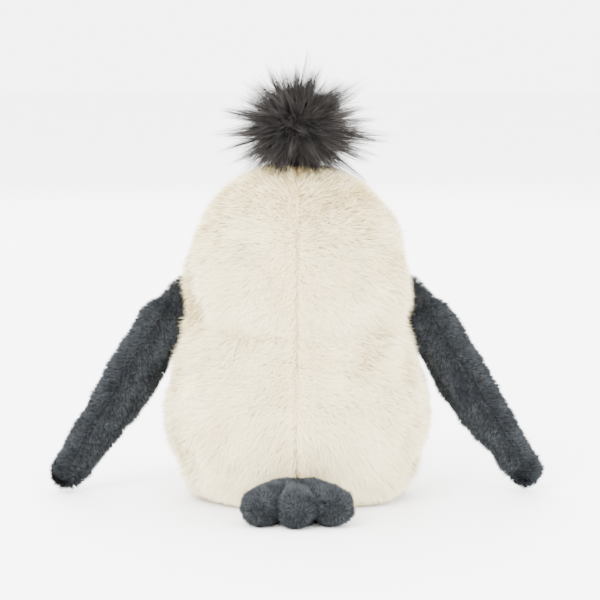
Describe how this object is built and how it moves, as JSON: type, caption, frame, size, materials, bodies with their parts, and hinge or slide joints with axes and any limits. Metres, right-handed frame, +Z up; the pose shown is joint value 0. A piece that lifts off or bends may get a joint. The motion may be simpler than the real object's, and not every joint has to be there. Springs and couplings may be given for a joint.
{
  "type": "plush penguin",
  "caption": "Sitting plush penguin with a rounded fur body, drooping hinged flippers, a lobed tail, small feet and a fluffy hair tuft on its crown.",
  "frame": {"origin": "middle of the flat base, on the floor that the toy sits on", "axes": "+Z up, -Y the way the face looks, +X the penguin's own left side"},
  "size_m": [0.3112, 0.1986, 0.267],
  "materials": {
    "body_fur": "cream long-pile faux fur",
    "slate_plush": "slate-grey short-pile plush",
    "tuft_hair": "charcoal long-hair faux fur",
    "filling": "white polyester fibre filling",
    "lining": "plain woven lining cloth",
    "pellets": "loose plastic pellets",
    "eye_black": "polished black plastic",
    "washer": "moulded locking washer"
  },
  "bodies": {
    "torso": {"back_left_panel": "body_fur", "back_right_panel": "body_fur", "front_left_panel": "body_fur", "front_right_panel": "body_fur", "base_panel": "body_fur", "body_stuffing": "filling", "bean_pouch": "lining", "bean_pellets": "pellets", "eye_left": "eye_black", "eye_right": "eye_black", "eye_washer_left": "washer", "eye_washer_right": "washer", "beak_upper_panel": "slate_plush", "beak_lower_panel": "slate_plush", "beak_stuffing": "filling", "crown_patch": "lining"},
    "tuft": {"tuft_shank": "tuft_hair", "tuft_core": "tuft_hair", "tuft_pile": "tuft_hair"},
    "flipper_left_root": {"flipper_left_root_tab": "slate_plush"},
    "flipper_left": {"flipper_left_back_panel": "slate_plush", "flipper_left_front_panel": "slate_plush", "flipper_left_stuffing": "filling"},
    "flipper_right_root": {"flipper_right_root_tab": "slate_plush"},
    "flipper_right": {"flipper_right_back_panel": "slate_plush", "flipper_right_front_panel": "slate_plush", "flipper_right_stuffing": "filling"},
    "tail": {"tail_top_panel": "slate_plush", "tail_bottom_panel": "slate_plush", "tail_stuffing": "filling"},
    "foot_left": {"foot_left_top_panel": "slate_plush", "foot_left_sole_panel": "slate_plush", "foot_left_stuffing": "filling"},
    "foot_right": {"foot_right_top_panel": "slate_plush", "foot_right_sole_panel": "slate_plush", "foot_right_stuffing": "filling"}
  },
  "joints": [
    {"name": "tuft_nod", "type": "hinge", "parent": "torso", "child": "tuft", "pos_m": [0, 0, 0.2098], "axis": [1, 0, 0], "range_deg": [-15, 15], "stiffness_Nm_per_rad": 0.03},
    {"name": "flipper_left_swing", "type": "hinge", "parent": "torso", "child": "flipper_left_root", "pos_m": [0.08405, -0.00712, 0.109], "axis": [1, 0, 0], "range_deg": [-50, 35]},
    {"name": "flipper_left_raise", "type": "hinge", "parent": "flipper_left_root", "child": "flipper_left", "pos_m": [0.08405, -0.00712, 0.109], "axis": [0, -1, 0], "range_deg": [0, 100]},
    {"name": "flipper_right_swing", "type": "hinge", "parent": "torso", "child": "flipper_right_root", "pos_m": [-0.08405, -0.00712, 0.109], "axis": [1, 0, 0], "range_deg": [-50, 35]},
    {"name": "flipper_right_raise", "type": "hinge", "parent": "flipper_right_root", "child": "flipper_right", "pos_m": [-0.08405, -0.00712, 0.109], "axis": [0, 1, 0], "range_deg": [0, 100]},
    {"name": "tail_lift", "type": "hinge", "parent": "torso", "child": "tail", "pos_m": [0, 0.06957, 0.0112], "axis": [1, 0, 0], "range_deg": [0, 45]},
    {"name": "foot_left_lift", "type": "hinge", "parent": "torso", "child": "foot_left", "pos_m": [0.03371, -0.05722, 0.008], "axis": [-0.9076, -0.4198, 0], "range_deg": [0, 40]},
    {"name": "foot_right_lift", "type": "hinge", "parent": "torso", "child": "foot_right", "pos_m": [-0.03371, -0.05722, 0.008], "axis": [-0.9076, 0.4198, 0], "range_deg": [0, 40]}
  ]
}
